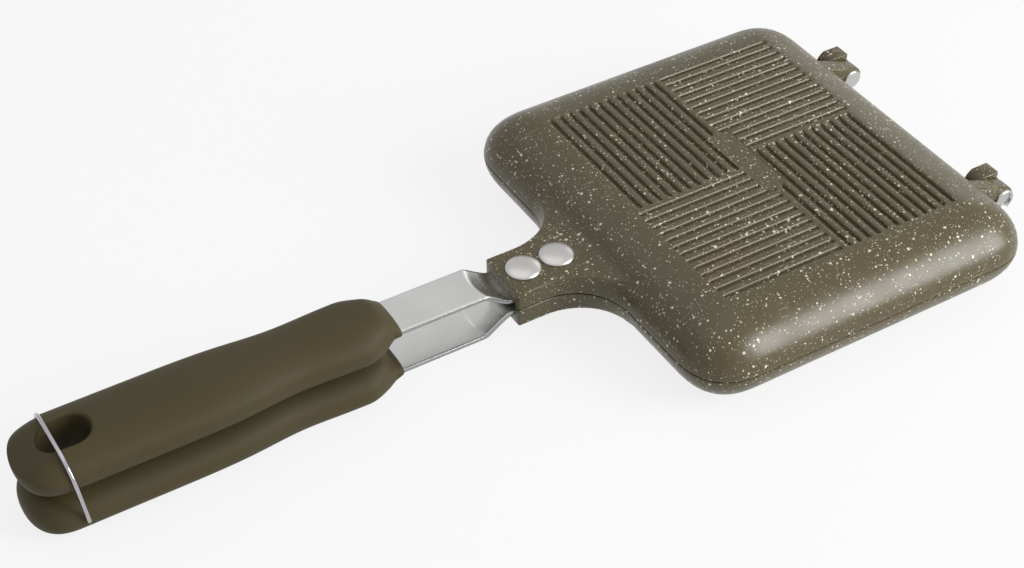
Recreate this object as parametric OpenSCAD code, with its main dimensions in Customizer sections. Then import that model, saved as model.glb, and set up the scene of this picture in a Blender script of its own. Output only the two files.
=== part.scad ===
// Camping pie iron: two domed cast pans hinged at the far end, each with a bent steel
// strap and a rubber grip, and a wire bail at the tail that holds the two grips shut.
// +X runs from the grips to the hinge and +Z is up. The origin is the middle of the
// lower pan's outer face, which the iron rests on.

/* [Pans] */
// Length of a pan along the handle
pan_length = 150; // [136:1:170]
// Width of a pan across the handle
pan_width = 168; // [150:1:190]
// Height of one pan from the parting plane to its outer face
pan_height = 17.7; // [16:0.1:22]
// Thickness of the cast wall over the food
pan_wall = 3; // [2.4:0.1:4]
// Width of the flat rim that faces the other pan
rim_land = 6; // [5:0.5:8]
// Gap between the two rims when the iron is shut
rim_gap = 0.4; // [0.3:0.1:0.8]
// Radius of the rim's corners, seen from above
corner_radius = 19; // [16:1:22]
// How far the domed flank comes in from the rim to the outer face
flank_inset = 24; // [22.5:0.5:28]
// How much the wall thins over the shoulder of the flank
shoulder_thinning = 1; // [0:0.1:1.5]

/* [Ribs] */
// Distance from one groove to the next
groove_pitch = 4.4; // [4:0.1:5.5]
// Width of a groove between two ribs
groove_width = 1.8; // [1.2:0.1:2.4]
// Depth of a groove
groove_depth = 1.2; // [0.6:0.1:1.6]
// Length of the ribbed field along the handle
field_length = 107; // [90:1:112]
// Width of the ribbed field across the handle
field_width = 121; // [100:1:126]
// How far the lengthwise and crosswise grooves step past each other at the middle
field_step = 3.5; // [2:0.5:6]
// Where a quarter's first lengthwise groove lies past the crosswise ones, in groove pitches
field_seam = 0.7; // [0.6:0.05:1]
// Length of the plain plate in the middle of the ribs, across the handle
plate_length = 39; // [20:1:50]
// Width of the plain plate, along the handle
plate_width = 10; // [6:0.5:14]
// Size of the cut corners of the plain plate
plate_chamfer = 2.5; // [1:0.5:3]

/* [Tangs] */
// How far a tang reaches out from the pan's rim
tang_length = 33.3; // [31:0.5:42]
// Width of a tang
tang_width = 23.5; // [22:0.5:30]
// Height of a tang from the parting plane to its top
tang_height = 7.7; // [6.6:0.1:9]
// Radius of the curve from the tang's side into the rim
neck_radius = 22; // [14:1:26]
// How far above the tang its top blends into the flank, in degrees of the flank's ellipse
neck_blend = 12; // [4:0.5:12]
// Distance from the tang's end to the first rivet
rivet_setback = 8.9; // [8:0.1:11]
// Distance between the two rivets
rivet_pitch = 14.4; // [14:0.1:16]
// Diameter of a rivet's domed head
rivet_head_d = 13.5; // [11:0.1:13.8]
// Height of a rivet's domed head
rivet_head_h = 2.2; // [1.2:0.1:3]
// Height of the straight edge under a rivet's dome
rivet_edge = 0.5; // [0.2:0.1:0.8]
// Diameter of a rivet's shank
rivet_shank_d = 5; // [3.5:0.1:6]
// Diameter of the tail formed under the strap
rivet_tail_d = 8; // [7:0.1:9]
// Thickness of the tail formed under the strap
rivet_tail_h = 1; // [0.6:0.1:1.2]

/* [Straps] */
// Width of a strap
strap_width = 18; // [14:0.5:18.5]
// Thickness of a strap
strap_thickness = 1.7; // [1.2:0.1:2]
// Height of a strap's middle above the parting plane inside the tang
strap_low = 2.55; // [2.4:0.05:3]
// Height of a strap's middle above the parting plane inside the grip
strap_high = 9.2; // [8:0.1:11]
// Angle of the strap's slanting stretch
strap_slant = 36; // [30:1:45]
// Bend radius of a strap, at its middle
strap_bend = 5; // [4:0.5:6]
// How far a strap's lower bend starts outside the tang
strap_bend_gap = 0.6; // [0.2:0.1:3]
// How far a strap reaches into its grip
strap_in_grip = 104; // [60:1:106]
// How far a strap reaches past the tail of its front rivet
strap_margin = 0.5; // [0.2:0.1:1.5]

/* [Grips] */
// Length of a grip
grip_length = 140; // [130:1:160]
// Distance from the tang's end to the grip
grip_setback = 45.7; // [35:0.5:60]
// Greatest width of a grip, over the hanging hole
grip_width = 33.6; // [30:0.2:38]
// Width of the bulb at a grip's front
bulb_width = 29.8; // [26:0.2:32]
// How much the waist narrows each side
waist_depth = 1.6; // [0:0.1:3]
// Distance from a grip's front to its waist
waist_setback = 43; // [36:1:60]
// Height of a grip
grip_height = 16.6; // [14:0.2:17.2]
// Half length of the waist
waist_spread = 16; // [10:1:24]
// Length over which a grip swells from the bulb's width to its greatest width
swell_length = 72; // [50:1:90]
// Length of the tail end's rounding, seen from above
tail_round = 15; // [12:0.5:18]
// Length of the tail end's rounding, seen from the side
tail_roll = 9; // [6:0.5:12]
// Length of the rounded front end
front_round = 14; // [8:0.5:18]
// Rubber over and under the strap at the blunt front
nose_wall = 2.5; // [1.5:0.1:4]
// Rubber beside the strap at the blunt front
nose_side = 0.5; // [0.3:0.1:2]
// Length of the hanging hole along the grip
hole_length = 17.5; // [14:0.5:20]
// Width of the hanging hole
hole_width = 14.5; // [10:0.5:16]
// Depth of the chamfer round the hanging hole's mouth, from the grip's highest line
hole_flare = 1.5; // [0.8:0.1:2]
// Distance from the tail end to the middle of the hanging hole
hole_setback = 19.2; // [18:0.2:24]

/* [Bail] */
// Diameter of the bail's wire
wire_d = 1.5; // [1.2:0.1:2]
// Distance from the tail end to the bail's pivot
pivot_setback = 17; // [16:0.5:18.5]
// How far the crossbar lies behind the pivot
bail_lean = 2.7; // [2:0.1:4]
// How far the bail's ends reach into the lower grip's sides
bail_reach = 5; // [3:0.5:6]
// Bend radius of the wire at the crossbar, at its middle
bail_corner = 3.5; // [2.5:0.5:5]
// Bend radius of the wire at its ends, at its middle
bail_foot = 1.6; // [1.4:0.1:2.2]
// Depth of the groove that the crossbar lies in
bail_groove = 1.2; // [0.8:0.1:1.6]

/* [Hinge] */
// Distance from the rim to the hinge pins
pin_setback = 9; // [8:0.5:11]
// Distance between the middles of the two hinges
hinge_spacing = 92.7; // [70:0.5:110]
// How far the pair of hinges sits off the middle, to the right
hinge_shift = 0.6; // [0:0.1:3]
// Radius of a lug's round end
lug_radius = 5.2; // [4.6:0.1:6]
// Width of the upper pan's lug in each hinge
upper_lug_width = 7.5; // [4:0.1:9]
// Width of the lower pan's tall lug in each hinge
lower_lug_width = 7; // [4:0.1:9]
// Slope of a lug's web, from the flank to its round end
lug_slope = 20; // [14:1:22]
// Height of the tall lug above the parting plane
tall_lug_height = 7.2; // [6.2:0.1:7.8]
// How far the tall lug's flat front lies past the pin
tall_lug_front = 3.1; // [2.5:0.1:3.2]
// Diameter of a hinge pin
pin_d = 4; // [3:0.1:5]
// Diameter of a hinge pin's head
pin_head_d = 8; // [6:0.1:9]
// Thickness of a hinge pin's head
pin_head_h = 1; // [0.6:0.1:1.6]
// Height of the straight edge under a hinge pin's head
pin_edge = 0.4; // [0.2:0.1:0.5]
// Width of the sloping ring round a hinge pin's head
pin_bevel = 0.7; // [0.4:0.1:1]
// Width of the flat ring round the dish in a pin's peened end
peen_ring = 0.8; // [0.4:0.1:1]
// Depth of the dish in a pin's peened end
peen_depth = 0.5; // [0.2:0.1:0.6]
// How far the dish rises again in its middle
peen_crown = 0.2; // [0:0.1:0.3]

/* [Clearances] */
// Side gap between the lugs of a hinge
lug_gap = 0.3; // [0.2:0.1:0.6]
// Radial clearance of a hinge pin in the tall lug that turns on it
running_fit = 0.06; // [0.03:0.01:0.1]
// Radial clearance of a riveted or peened shank
tight_fit = 0.02; // [0.01:0.01:0.05]
// Clearance round a strap in its tang and in its grip
strap_fit = 0.15; // [0.05:0.05:0.3]
// Gap between a strap's end and the end of its slot in the tang
strap_end_gap = 0.5; // [0.2:0.1:1]
// Gap between the moving wire and the grips
wire_gap = 0.35; // [0.3:0.05:0.6]
// Gap between the tall lug's round back and the rim that swings over it
lug_back_gap = 0.5; // [0.3:0.1:0.7]

/* [Hidden] */
$fn = 48;

pan_color = "#6b6452";
grip_color = "#4a4330";
steel_color = "#c3c3c3";
rivet_color = "#beb9b4";
over = 1;                // how far a cut reaches past the face it opens
joined = 0.01;           // overlap of two shapes that meet face to face
flank_steps = 10;        // straight steps that a domed flank is drawn with
steps_per_mm = 4096;     // fineness that a dome's lengths are rounded to
arc_steps = 6;           // straight steps in a strap's bend
dome_steps = 8;          // straight steps in a rivet's dome

half_length = pan_length / 2;
half_width = pan_width / 2;
tang_end = -half_length - tang_length;
pin_x = half_length + pin_setback;
stack_width = upper_lug_width + lug_gap + lower_lug_width;
rivet_front_x = tang_end + rivet_setback + rivet_pitch;
rivet_rear_x = tang_end + rivet_setback;
strap_front = rivet_front_x + rivet_tail_d / 2 + strap_margin;
grip_front = tang_end - grip_setback;
tail_x = grip_front - grip_length;
hole_x = tail_x + hole_setback;
grip_outer = strap_high + grip_height / 2;
grip_inner = strap_high - grip_height / 2;
pivot_x = tail_x + pivot_setback;
pivot_z = -strap_high;
crossbar_x = pivot_x - bail_lean;
crossbar_z = grip_outer - bail_groove + wire_gap + wire_d / 2;
bail_height = norm([bail_lean, crossbar_z - pivot_z]);
bail_half = grip_width / 2 + wire_gap + wire_d / 2;
relief_radius = bail_height - wire_d / 2 - wire_gap;

function arc(centre, r, a0, a1, n) =
    [for (i = [0:n]) let (a = a0 + (a1 - a0) * i / n) centre + r * [cos(a), sin(a)]];

// Everything is drawn about the parting plane and lifted onto the resting face.
module lift() { translate([0, 0, pan_height]) children(); }
// A profile in the plane of length and height, drawn across the given width.
module across(from, to) { translate([0, to, 0]) rotate([90, 0, 0]) linear_extrude(to - from) children(); }

// ---- pans ----
// Quarter-elliptic flank as [inset, height]; the steps end where a round corner of
// radius r closes on its own centre, and one more reaches the outer face.
function flank(inset, height, r) =
    let (last = acos(1 - r / inset))
    concat([for (i = [0:flank_steps - 1]) let (t = last * i / flank_steps)
                [whole_steps(inset * (1 - cos(t))), whole_steps(height * sin(t))]],
           [[r, whole_steps(height * sin(last))], [inset, height]]);
// A dome's lengths are rounded to a fine binary step, so that its straight stretches and its
// round corners meet in the very same points at any size.
function whole_steps(v) = round(v * steps_per_mm) / steps_per_mm;
function inset_at(z, inset, height) = inset * (1 - sqrt(1 - pow(z / height, 2)));

module dome_section(half, inset, height, r) {
    side = flank(inset, height, r);
    polygon(concat([for (p = side) [half - p[0], p[1]]],
                   [for (i = [len(side) - 1:-1:0]) [side[i][0] - half, side[i][1]]]));
}
module dome(half_x, half_y, corner, inset, height) {
    hx = whole_steps(half_x);
    hy = whole_steps(half_y);
    r = whole_steps(corner);
    intersection() {
        across(-hy, hy) dome_section(hx, inset, height, r);
        rotate([0, 0, 90]) across(-hx, hx) dome_section(hy, inset, height, r);
        linear_extrude(height) {
            square([2 * (hx - r), 2 * hy], center = true);
            square([2 * hx, 2 * (hy - r)], center = true);
        }
    }
    side = flank(inset, height, r);
    for (turn = [0:3]) {
        sx = (turn == 0 || turn == 3) ? 1 : -1;
        sy = turn < 2 ? 1 : -1;
        translate([sx * (hx - r), sy * (hy - r), 0]) rotate([0, 0, 90 * turn])
            rotate_extrude(angle = 90)
                polygon(concat([[0, 0]], [for (i = [0:flank_steps]) [r - side[i][0], side[i][1]]]));
    }
}

module plate_outline() {
    polygon([for (s = [[1, 1], [-1, 1], [-1, -1], [1, -1]], k = s[0] * s[1] > 0 ? [0, 1] : [1, 0])
        [s[0] * (plate_width / 2 - (k == 1 ? plate_chamfer : 0)),
         s[1] * (plate_length / 2 - (k == 0 ? plate_chamfer : 0))]]);
}
module groove(from, to) {
    w = groove_width;
    translate([from + w / 2, -w / 2]) square([to - from - w, w]);
    for (x = [from + w / 2, to - w / 2]) translate([x, 0]) circle(d = w, $fn = 24);
}
// Half of the pinwheel: crosswise grooves in one quarter, lengthwise ones in the next.
module half_field() {
    crosswise = floor((field_length / 2 - groove_pitch / 2) / groove_pitch);
    for (i = [0:crosswise]) translate([-groove_pitch * (i + 0.5), 0])
        rotate([0, 0, 90]) groove(-field_step, field_width / 2);
    start = -field_step - groove_pitch * field_seam;
    lengthwise = floor((field_width / 2 + start) / groove_pitch);
    for (i = [0:lengthwise]) translate([0, start - groove_pitch * i])
        groove(-field_length / 2, -groove_width / 2);
}
module grooves() {
    translate([0, 0, pan_height - groove_depth]) linear_extrude(groove_depth + over)
        difference() {
            for (turn = [0, 180]) rotate([0, 0, turn]) half_field();
            plate_outline();
        }
}

// The tang and the neck that flares from it into the flank.
module neck() {
    blend = asin(tang_height / pan_height) + neck_blend;
    foot = [flank_inset * (1 - cos(blend)) - half_length, pan_height * sin(blend)];
    slope = [-cos(blend) / flank_inset, sin(blend) / pan_height];
    out = slope / norm(slope);
    r = (foot[1] - tang_height) / (1 - out[1]);
    centre = foot + r * out;
    top = foot[1];
    difference() {
        intersection() {
            across(-tang_width / 2 - neck_radius, tang_width / 2 + neck_radius)
                polygon(concat([[-half_length + rim_land, 0], [tang_end, 0], [tang_end, tang_height]],
                               arc(centre, r, -90, atan2(-out[1], -out[0]), arc_steps),
                               [[-half_length + rim_land, top]]));
            linear_extrude(pan_height) {
                translate([tang_end, -tang_width / 2])
                    square([tang_length + rim_land, tang_width]);
                translate([-half_length - neck_radius, -tang_width / 2 - neck_radius])
                    square([neck_radius + joined, tang_width + 2 * neck_radius]);
            }
        }
        for (s = [-1, 1])
            translate([-half_length - neck_radius, s * (tang_width / 2 + neck_radius), 0])
                rotate_extrude()
                    polygon(concat([[0, -over], [neck_radius, -over]],
                        [for (i = [0:flank_steps]) let (z = top * i / flank_steps)
                            [neck_radius + inset_at(z, flank_inset, pan_height), z]],
                        [[0, top]]));
    }
}
module tang_cuts() {
    w = strap_width / 2 + strap_fit;
    translate([tang_end - over, -w, -over])
        cube([strap_front + strap_end_gap - tang_end + over, 2 * w,
              strap_low + strap_thickness / 2 + over]);
    for (x = [rivet_rear_x, rivet_front_x]) translate([x, 0, 0])
        cylinder(r = rivet_shank_d / 2 + tight_fit, h = pan_height);
}

// Shell of one pan above the parting plane, without its lugs.
module pan_solid() {
    dome(half_length, half_width, corner_radius, flank_inset, pan_height);
    neck();
}
module pan_hollow() {
    dome(half_length - rim_land, half_width - rim_land, corner_radius - rim_land,
         flank_inset - rim_land + pan_wall - shoulder_thinning, pan_height - pan_wall);
}
module pan_cuts() {
    grooves();
    tang_cuts();
    below = half_length + half_width + tang_length;
    translate([-below, -below, -pan_height]) cube([2 * below, 2 * below, pan_height + rim_gap / 2]);
}

// ---- hinge lugs, drawn as length and height about the parting plane ----
module lug_profile() {
    touch = [pin_x, 0] + lug_radius * [sin(lug_slope), cos(lug_slope)];
    back = half_length - rim_land;
    translate([pin_x, 0]) circle(r = lug_radius);
    polygon([[back, rim_gap / 2], [back, touch[1] + (touch[0] - back) * tan(lug_slope)],
             touch, [pin_x, 0], [pin_x, rim_gap / 2]]);
}
// The lower pan's lug stands up past the parting plane. Its back is round about the pin, so
// the upper pan's rim swings clear of it; its top and front are flat.
module tall_lug_profile() {
    r = pin_setback - lug_back_gap;
    mirror([0, 1]) lug_profile();
    intersection() {
        translate([pin_x, 0]) circle(r = r);
        translate([pin_x - r, -over]) square([r + tall_lug_front, over + tall_lug_height]);
    }
}
module at_hinges() {
    for (s = [-1, 1]) translate([pin_x, s * hinge_spacing / 2 - hinge_shift, 0]) children();
}
module at_lugs() { translate([-pin_x, 0, 0]) at_hinges() children(); }
module pin_bores(clearance) {
    at_hinges() rotate([90, 0, 0])
        cylinder(r = pin_d / 2 + clearance, h = stack_width + 2 * over, center = true);
}

module upper_pan() {
    side = stack_width / 2;
    color(pan_color) lift() difference() {
        union() {
            difference() {
                pan_solid();
                pan_cuts();
            }
            at_lugs() across(-side, upper_lug_width - side) lug_profile();
        }
        pan_hollow();
        pin_bores(tight_fit);
    }
}
module lower_pan() {
    side = stack_width / 2;
    color(pan_color) lift() difference() {
        union() {
            mirror([0, 0, 1]) difference() {
                pan_solid();
                pan_cuts();
            }
            at_lugs() across(side - lower_lug_width, side) tall_lug_profile();
        }
        mirror([0, 0, 1]) pan_hollow();
        pin_bores(running_fit);
    }
}

// ---- straps, rivets and pins ----
module strap() {
    t = strap_thickness / 2;
    run = strap_bend * sin(strap_slant);
    rise = strap_bend * (1 - cos(strap_slant));
    slant = (strap_high - strap_low - 2 * rise) / tan(strap_slant);
    low_x = tang_end - strap_bend_gap;
    high_x = low_x - 2 * run - slant;
    low_c = [low_x, strap_low + strap_bend];
    high_c = [high_x, strap_high - strap_bend];
    end = grip_front - strap_in_grip;
    across(-strap_width / 2, strap_width / 2)
        polygon(concat(
            [[strap_front, strap_low - t]],
            arc(low_c, strap_bend + t, -90, -90 - strap_slant, arc_steps),
            arc(high_c, strap_bend - t, 90 - strap_slant, 90, arc_steps),
            [[end, strap_high - t], [end, strap_high + t]],
            arc(high_c, strap_bend + t, 90, 90 - strap_slant, arc_steps),
            arc(low_c, strap_bend - t, -90 - strap_slant, -90, arc_steps),
            [[strap_front, strap_low + t]]));
}
module holed_strap() {
    difference() {
        strap();
        for (x = [rivet_rear_x, rivet_front_x]) translate([x, 0, -over])
            cylinder(r = rivet_shank_d / 2 + tight_fit, h = pan_height);
    }
}
module upper_strap() { color(steel_color) lift() holed_strap(); }
module lower_strap() { color(steel_color) lift() mirror([0, 0, 1]) holed_strap(); }

module rivet(x) {
    seat = strap_low - strap_thickness / 2;
    dome_h = rivet_head_h - rivet_edge;
    r = (pow(rivet_head_d / 2, 2) + dome_h * dome_h) / (2 * dome_h);
    half_angle = asin(rivet_head_d / 2 / r);
    translate([x, 0, 0]) {
        translate([0, 0, tang_height]) rotate_extrude()
            polygon(concat([[0, 0], [rivet_head_d / 2, 0]],
                           arc([0, rivet_head_h - r], r, 90 - half_angle, 90, dome_steps)));
        translate([0, 0, seat]) cylinder(d = rivet_shank_d, h = tang_height - seat);
        translate([0, 0, seat - rivet_tail_h]) cylinder(d = rivet_tail_d, h = rivet_tail_h);
    }
}
module upper_rivet_front() { color(rivet_color) lift() rivet(rivet_front_x); }
module upper_rivet_rear() { color(rivet_color) lift() rivet(rivet_rear_x); }
module lower_rivet_front() { color(rivet_color) lift() mirror([0, 0, 1]) rivet(rivet_front_x); }
module lower_rivet_rear() { color(rivet_color) lift() mirror([0, 0, 1]) rivet(rivet_rear_x); }

// Pin with a domed head on the iron's inner side and a dished, peened end outside.
module hinge_pin() {
    half = stack_width / 2;
    r = pin_head_d / 2;
    flat = r - pin_bevel;
    end = half + pin_head_h;
    rotate([90, 0, 0]) rotate_extrude()
        polygon([[0, -end], [flat, -end], [r, -half - pin_edge], [r, -half],
                 [pin_d / 2, -half], [pin_d / 2, half], [r, half], [r, half + pin_edge],
                 [flat, end], [flat - peen_ring, end], [flat - peen_ring - pin_bevel, end - peen_depth],
                 [0, end - peen_depth + peen_crown]]);
}
module hinge_pin_right() {
    color(steel_color) lift() translate([pin_x, -hinge_spacing / 2 - hinge_shift, 0]) hinge_pin();
}
module hinge_pin_left() {
    color(steel_color) lift() translate([pin_x, hinge_spacing / 2 - hinge_shift, 0])
        mirror([0, 1, 0]) hinge_pin();
}

// ---- grips ----
ring = 28;               // points round a grip's section
squareness = 2.3;        // a section's superellipse power; 2 is an ellipse
function smooth(u) = let (v = max(0, min(1, u))) v * v * (3 - 2 * v);
function waist(x) = waist_depth * exp(-pow((x - (grip_front - waist_setback)) / waist_spread, 2));
function side_at(x) =
    let (blend = smooth((grip_front - front_round - x) / swell_length),
         full = (bulb_width + (grip_width - bulb_width) * blend) / 2 - waist(x),
         nose = strap_width / 2 + nose_side,
         tail = max(0, (tail_x + tail_round - x) / tail_round),
         front = max(0, (x - grip_front + front_round) / front_round))
    x < tail_x + tail_round
        ? full * pow(max(0, 1 - pow(tail, squareness)), 1 / squareness)
        : nose + (full - nose) * sqrt(max(0, 1 - front * front));
function half_height_at(x) =
    let (tail = max(0, (tail_x + tail_roll - x) / tail_roll),
         front = max(0, (x - grip_front + front_round) / front_round),
         full = grip_height / 2,
         nose = strap_thickness / 2 + nose_wall)
    x < tail_x + tail_round
        ? full * pow(max(0, 1 - pow(tail, squareness)), 1 / squareness)
        : nose + (full - nose) * sqrt(max(0, 1 - front * front));
// Behind the bail's groove the upper grip's back is relieved to the crossbar's arc.
function outer_at(x, relieved) =
    let (top = strap_high + half_height_at(x))
    relieved && x < crossbar_x
        ? min(top, pivot_z + sqrt(pow(relief_radius, 2) - pow(x - pivot_x, 2)))
        : top;
stations = concat([for (a = [86, 78, 68, 57, 45, 33, 20, 8]) tail_x + tail_round * (1 - sin(a))],
                  [for (i = [0:12]) tail_x + tail_round
                      + (grip_length - tail_round - front_round) * i / 12],
                  [for (a = [18, 36, 53, 68, 80, 90]) grip_front - front_round * (1 - sin(a))]);
function section(x, relieved) =
    let (top = outer_at(x, relieved), bottom = strap_high - half_height_at(x),
         w = side_at(x), h = (top - bottom) / 2, mid = (top + bottom) / 2)
    [for (i = [0:ring - 1]) let (a = 360 * (i + 0.5) / ring, c = cos(a), s = sin(a))
        [x, w * sign(c) * pow(abs(c), 2 / squareness), mid + h * sign(s) * pow(abs(s), 2 / squareness)]];
module grip_skin(relieved) {
    n = len(stations);
    polyhedron(
        points = [for (x = stations) each section(x, relieved)],
        faces = concat(
            [for (k = [0:n - 2], i = [0:ring - 1]) let (j = (i + 1) % ring)
                [k * ring + i, k * ring + j, (k + 1) * ring + j]],
            [for (k = [0:n - 2], i = [0:ring - 1]) let (j = (i + 1) % ring)
                [k * ring + i, (k + 1) * ring + j, (k + 1) * ring + i]],
            [[for (i = [ring - 1:-1:0]) i]],
            [[for (i = [0:ring - 1]) (n - 1) * ring + i]]));
}
module hanging_hole() {
    r = hole_width / 2;
    shift = (hole_length - hole_width) / 2;
    translate([hole_x, 0, 0]) {
        for (s = [-1, 1]) translate([s * shift, 0, 0]) cylinder(r = r, h = pan_height + over);
        translate([-shift, -r, 0]) cube([2 * shift, 2 * r, pan_height + over]);
        for (side = [-1, 1]) translate([0, 0, strap_high]) scale([1, 1, side]) {
            z = grip_height / 2 - hole_flare;
            h = hole_flare + over;
            for (s = [-1, 1]) translate([s * shift, 0, z]) cylinder(r1 = r, r2 = r + h, h = h);
            translate([-shift, 0, z]) rotate([90, 0, 90]) linear_extrude(2 * shift)
                polygon([[-r, 0], [r, 0], [r + h, h], [-r - h, h]]);
        }
    }
}
module strap_slot() {
    w = strap_width / 2 + strap_fit;
    t = strap_thickness / 2 + strap_fit;
    translate([grip_front - strap_in_grip - strap_fit, -w, strap_high - t])
        cube([strap_in_grip + strap_fit + over, 2 * w, 2 * t]);
}
module grip(relieved) {
    difference() {
        grip_skin(relieved);
        strap_slot();
        hanging_hole();
    }
}
module upper_grip() {
    color(grip_color) lift() difference() {
        grip(true);
        translate([crossbar_x, 0, crossbar_z]) rotate([90, 0, 0])
            cylinder(r = wire_d / 2 + wire_gap, h = grip_width + 2 * over, center = true);
    }
}
module lower_grip() {
    color(grip_color) lift() difference() {
        mirror([0, 0, 1]) grip(false);
        for (s = [-1, 1]) translate([pivot_x, s * (bail_half - bail_reach - wire_gap), pivot_z])
            rotate([-90 * s, 0, 0]) cylinder(r = wire_d / 2 + running_fit, h = bail_reach + 2 * over);
    }
}

// ---- bail ----
// The wire lies in one plane through its pivots: across, up, over the grips and down.
module wire(length) { cylinder(d = wire_d, h = length); }
module wire_bend(r) { rotate_extrude(angle = 90) translate([r, 0]) circle(d = wire_d); }
module half_bail() {
    foot = bail_foot;
    corner = bail_corner;
    translate([0, bail_half - bail_reach, 0]) rotate([-90, 0, 0]) wire(bail_reach - foot);
    translate([0, bail_half - foot, foot]) rotate([0, 90, 0]) wire_bend(foot);
    translate([0, bail_half, foot]) wire(bail_height - foot - corner);
    translate([0, bail_half - corner, bail_height - corner]) rotate([0, -90, 0]) mirror([0, 0, 1])
        wire_bend(corner);
    translate([0, 0, bail_height]) rotate([-90, 0, 0]) wire(bail_half - corner);
}
module wire_bail() {
    lean = atan2(bail_lean, crossbar_z - pivot_z);
    color(steel_color) lift() translate([pivot_x, 0, pivot_z]) rotate([0, -lean, 0]) {
        half_bail();
        mirror([0, 1, 0]) half_bail();
    }
}

lower_pan();
upper_pan();
lower_strap();
upper_strap();
lower_grip();
upper_grip();
lower_rivet_front();
lower_rivet_rear();
upper_rivet_front();
upper_rivet_rear();
hinge_pin_right();
hinge_pin_left();
wire_bail();
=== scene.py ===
# Speckled camping pie iron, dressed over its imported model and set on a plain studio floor
import math
import bpy
import bmesh
from mathutils import Matrix, Vector


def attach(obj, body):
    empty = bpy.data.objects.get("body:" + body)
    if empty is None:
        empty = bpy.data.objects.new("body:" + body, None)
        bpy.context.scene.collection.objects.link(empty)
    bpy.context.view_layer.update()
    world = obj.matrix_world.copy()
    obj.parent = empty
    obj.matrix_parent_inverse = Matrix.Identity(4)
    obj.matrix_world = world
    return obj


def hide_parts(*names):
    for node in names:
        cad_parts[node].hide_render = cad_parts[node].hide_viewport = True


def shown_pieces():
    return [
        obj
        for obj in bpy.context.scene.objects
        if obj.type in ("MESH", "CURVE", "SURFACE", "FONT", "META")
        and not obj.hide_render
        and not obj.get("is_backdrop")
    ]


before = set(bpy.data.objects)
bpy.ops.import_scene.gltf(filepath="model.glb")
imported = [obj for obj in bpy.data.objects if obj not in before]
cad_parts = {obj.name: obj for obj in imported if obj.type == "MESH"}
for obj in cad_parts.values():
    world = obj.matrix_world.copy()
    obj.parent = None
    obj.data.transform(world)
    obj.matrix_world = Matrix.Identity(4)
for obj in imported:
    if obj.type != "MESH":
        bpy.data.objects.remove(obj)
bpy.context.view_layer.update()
print("frame loaded:", len(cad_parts), "nodes")

# pieces are drawn in mm about the plane between the two halves, then scaled and lifted
mm = 0.001
partingZ = 17.7
weldGap = 0.001  # points closer than this become one


# where the camera stands in metres, and how it is turned
camera = {
    "spot": (-0.3755, -0.4537, 0.4891), "heading": 59.122, "dip": 41.585, "roll": -0.333,
    "lens": 68.054, "nearest": 0.01, "farthest": 20,
}


def setCamera():
    heading, dip, roll = (math.radians(camera[k]) for k in ("heading", "dip", "roll"))
    look = Vector((math.cos(dip) * math.cos(heading), math.cos(dip) * math.sin(heading), -math.sin(dip)))
    right = Vector((math.sin(heading), -math.cos(heading), 0))
    up = right.cross(look)
    tiltedRight = math.cos(roll) * right + math.sin(roll) * up
    tiltedUp = math.cos(roll) * up - math.sin(roll) * right
    data = bpy.data.cameras.new("camera")
    data.lens = camera["lens"]
    data.clip_start, data.clip_end = camera["nearest"], camera["farthest"]
    shot = bpy.data.objects.new("camera", data)
    facing = Matrix((tiltedRight, tiltedUp, -look)).transposed().to_4x4()
    shot.matrix_world = Matrix.Translation(camera["spot"]) @ facing
    bpy.context.scene.collection.objects.link(shot)
    bpy.context.scene.camera = shot


lamps = {
    "nearSoftbox": {"spot": (0.67, -0.82, 0.56), "aim": (0, -0.02, 0.02), "size": (0.7, 0.8), "watts": 16},
    "topPanel": {"spot": (-0.3, 0.2, 1.25), "aim": (-0.05, 0, 0), "size": (1.4, 1.4), "watts": 3},
    "hingeSide": {"spot": (1.0, 0.6, 0.5), "aim": (0.05, 0, 0.02), "size": (0.6, 0.5), "watts": 0.8},
}


def setLamps():
    for name, lamp in lamps.items():
        data = bpy.data.lights.new(name, "AREA")
        data.shape = "RECTANGLE"
        data.size, data.size_y = lamp["size"]
        data.energy = lamp["watts"]
        light = bpy.data.objects.new(name, data)
        spot = Vector(lamp["spot"])
        light.location = spot
        light.rotation_mode = "QUATERNION"
        light.rotation_quaternion = (Vector(lamp["aim"]) - spot).to_track_quat("-Z", "Y")
        bpy.context.scene.collection.objects.link(light)


studio = {
    "fill": 0.46, "seen": 1.0,  # the world's strength as a light, and where it is seen or reflected
    "floorGrey": 0.8, "floorWhite": 0.82, "floorSize": 6, "floorDrop": 0.0003,
}


def setWorld():
    world = bpy.data.worlds.new("studioWorld")
    bpy.context.scene.world = world
    world.use_nodes = True
    tree = world.node_tree
    tree.nodes.clear()
    rays = tree.nodes.new("ShaderNodeLightPath")
    seen = tree.nodes.new("ShaderNodeMath")
    seen.operation = "MAXIMUM"
    tree.links.new(rays.outputs["Is Camera Ray"], seen.inputs[0])
    tree.links.new(rays.outputs["Is Transmission Ray"], seen.inputs[1])
    seenToo = tree.nodes.new("ShaderNodeMath")
    seenToo.operation = "MAXIMUM"
    tree.links.new(seen.outputs[0], seenToo.inputs[0])
    tree.links.new(rays.outputs["Is Glossy Ray"], seenToo.inputs[1])
    strength = tree.nodes.new("ShaderNodeMapRange")
    strength.inputs["To Min"].default_value = studio["fill"]
    strength.inputs["To Max"].default_value = studio["seen"]
    tree.links.new(seenToo.outputs[0], strength.inputs["Value"])
    sky = tree.nodes.new("ShaderNodeBackground")
    tree.links.new(strength.outputs[0], sky.inputs["Strength"])
    out = tree.nodes.new("ShaderNodeOutputWorld")
    tree.links.new(sky.outputs[0], out.inputs["Surface"])


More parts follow.
